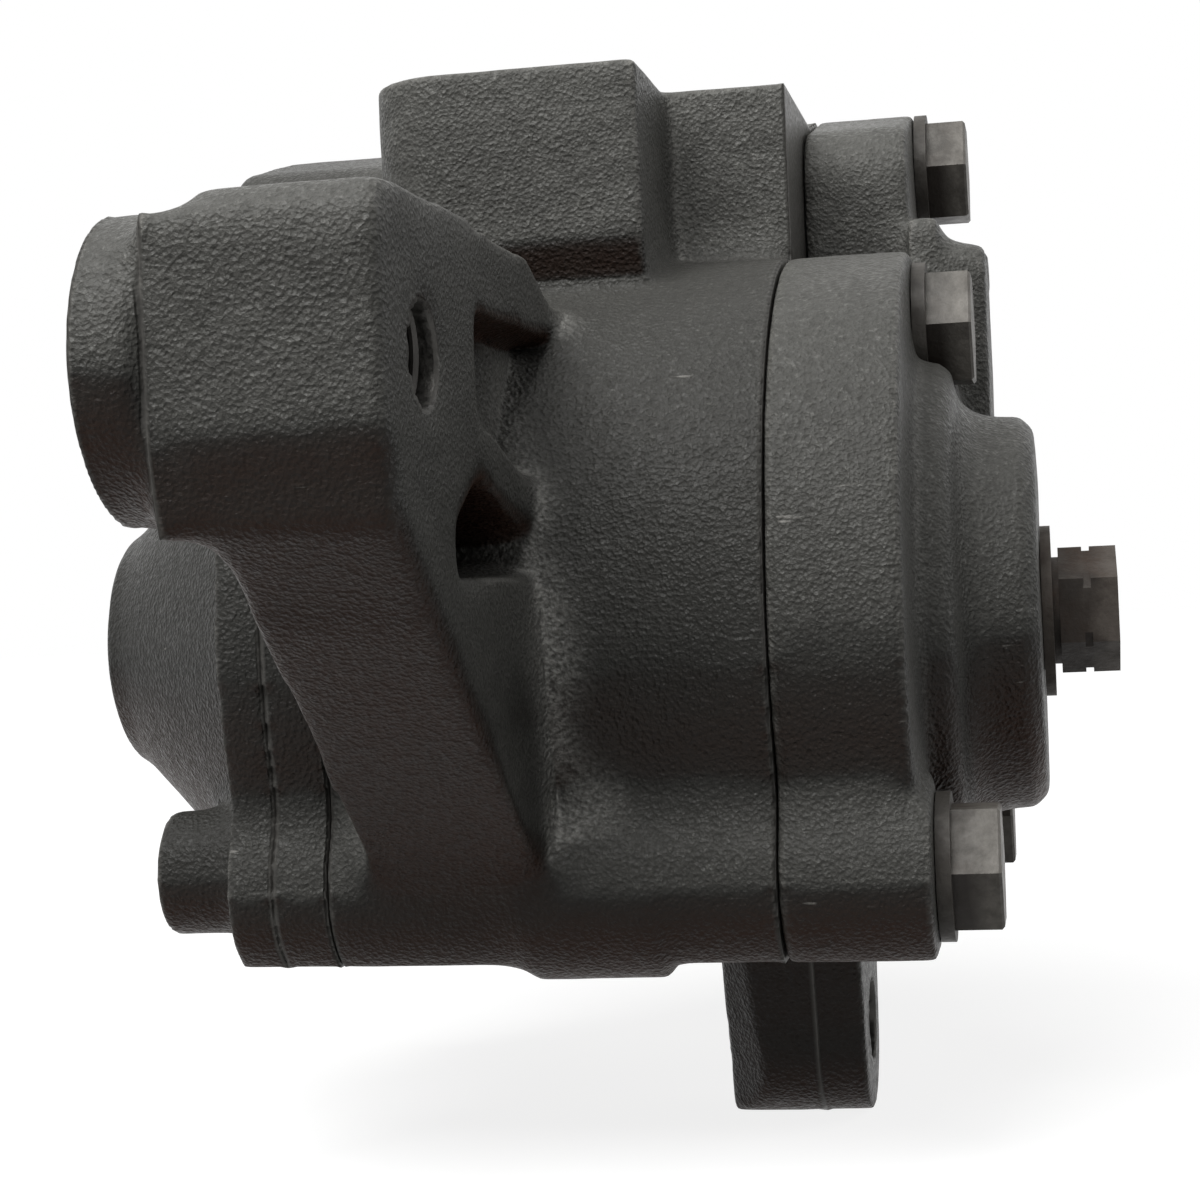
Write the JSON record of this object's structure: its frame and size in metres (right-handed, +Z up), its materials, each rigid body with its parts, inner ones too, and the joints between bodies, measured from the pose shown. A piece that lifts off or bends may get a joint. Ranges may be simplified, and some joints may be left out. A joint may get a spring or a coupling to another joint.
{
  "type": "hydraulic vane pump",
  "caption": "Cast-iron hydraulic vane pump with a conical drive nose, stacked housing, valve block with ports, threaded mounting lugs and a hex plug.",
  "frame": {"origin": "on the shaft axis, in the plane of the shaft's slotted drive end", "axes": "+X along the shaft from the drive end to the rear plug, +Z up towards the inlet port, +Y away from the mounting arm"},
  "size_m": [0.1224, 0.1504, 0.1285],
  "materials": {
    "painted_casting": "rough sand casting under thin dark grey-black paint",
    "bolt_steel": "dark phosphate with some rust",
    "washer_steel": "dull dark zinc",
    "plug_steel": "mottled rusty steel",
    "machined_steel": "ground steel, oiled",
    "polished_steel": "polished hardened steel",
    "spring_steel": "oil-blackened spring steel",
    "bearing_bronze": "satin bronze",
    "seal_rubber": "smooth black rubber"
  },
  "bodies": {
    "housing": {"pump_body": "painted_casting", "front_cover": "painted_casting", "intermediate_plate": "painted_casting", "rear_cover": "painted_casting", "cover_bolts": "bolt_steel", "cover_washers": "washer_steel", "rear_plug": "plug_steel", "plug_washer": "washer_steel", "shaft_seal": "seal_rubber", "seal_snap_ring": "spring_steel", "front_bush": "bearing_bronze", "cam_ring": "machined_steel", "thrust_plate": "machined_steel", "pressure_plate": "machined_steel", "dowel_pins": "machined_steel", "disc_spring": "spring_steel", "bearing_outer_ring": "machined_steel", "bearing_snap_ring": "spring_steel", "spool_spring": "spring_steel", "chamber_seal_rings": "seal_rubber", "valve_seal_rings": "seal_rubber"},
    "rotating_group": {"drive_shaft": "machined_steel", "rotor": "machined_steel", "bearing_inner_ring": "machined_steel"},
    "bearing_ball_set": {"bearing_balls": "polished_steel", "bearing_cage": "bearing_bronze"},
    "control_spool": {"flow_control_spool": "machined_steel", "relief_seat": "machined_steel", "relief_spring": "spring_steel"},
    "relief_valve": {"relief_poppet": "polished_steel"},
    "vane_1_body": {"vane_1": "polished_steel"},
    "vane_2_body": {"vane_2": "polished_steel"},
    "vane_3_body": {"vane_3": "polished_steel"},
    "vane_4_body": {"vane_4": "polished_steel"},
    "vane_5_body": {"vane_5": "polished_steel"},
    "vane_6_body": {"vane_6": "polished_steel"},
    "vane_7_body": {"vane_7": "polished_steel"},
    "vane_8_body": {"vane_8": "polished_steel"},
    "vane_9_body": {"vane_9": "polished_steel"},
    "vane_10_body": {"vane_10": "polished_steel"}
  },
  "joints": [
    {"name": "drive_spin", "type": "hinge", "parent": "housing", "child": "rotating_group", "pos_m": [0, 0, 0], "axis": [1, 0, 0], "continuous": true},
    {"name": "bearing_spin", "type": "hinge", "parent": "housing", "child": "bearing_ball_set", "pos_m": [0, 0, 0], "axis": [1, 0, 0], "continuous": true},
    {"name": "vane_1_slide", "type": "slide", "parent": "rotating_group", "child": "vane_1_body", "axis": [0, 1, 0], "range_m": [-0.0003, 0.0026]},
    {"name": "vane_2_slide", "type": "slide", "parent": "rotating_group", "child": "vane_2_body", "axis": [0, 0.809, 0.5878], "range_m": [-0.0003, 0.0017]},
    {"name": "vane_3_slide", "type": "slide", "parent": "rotating_group", "child": "vane_3_body", "axis": [0, 0.309, 0.9511], "range_m": [-0.0003, 0.00025]},
    {"name": "vane_4_slide", "type": "slide", "parent": "rotating_group", "child": "vane_4_body", "axis": [0, -0.309, 0.9511], "range_m": [-0.0003, 0.00025]},
    {"name": "vane_5_slide", "type": "slide", "parent": "rotating_group", "child": "vane_5_body", "axis": [0, -0.809, 0.5878], "range_m": [-0.0003, 0.0017]},
    {"name": "vane_6_slide", "type": "slide", "parent": "rotating_group", "child": "vane_6_body", "axis": [0, -1, 0], "range_m": [-0.0003, 0.0026]},
    {"name": "vane_7_slide", "type": "slide", "parent": "rotating_group", "child": "vane_7_body", "axis": [0, -0.809, -0.5878], "range_m": [-0.0003, 0.0017]},
    {"name": "vane_8_slide", "type": "slide", "parent": "rotating_group", "child": "vane_8_body", "axis": [0, -0.309, -0.9511], "range_m": [-0.0003, 0.00025]},
    {"name": "vane_9_slide", "type": "slide", "parent": "rotating_group", "child": "vane_9_body", "axis": [0, 0.309, -0.9511], "range_m": [-0.0003, 0.00025]},
    {"name": "vane_10_slide", "type": "slide", "parent": "rotating_group", "child": "vane_10_body", "axis": [0, 0.809, -0.5878], "range_m": [-0.0003, 0.0017]},
    {"name": "spool_slide", "type": "slide", "parent": "housing", "child": "control_spool", "axis": [1, 0, 0], "range_m": [-0.009, 0], "stiffness_N_per_m": 2500, "springref_m": 0.008, "deforming": ["spool_spring"]},
    {"name": "relief_slide", "type": "slide", "parent": "control_spool", "child": "relief_valve", "axis": [1, 0, 0], "range_m": [0, 0.0015], "stiffness_N_per_m": 4000, "springref_m": -0.002, "deforming": ["relief_spring"]}
  ],
  "couplings": [
    {"joint": "bearing_spin", "follows": "drive_spin", "ratio": 0.382}
  ]
}
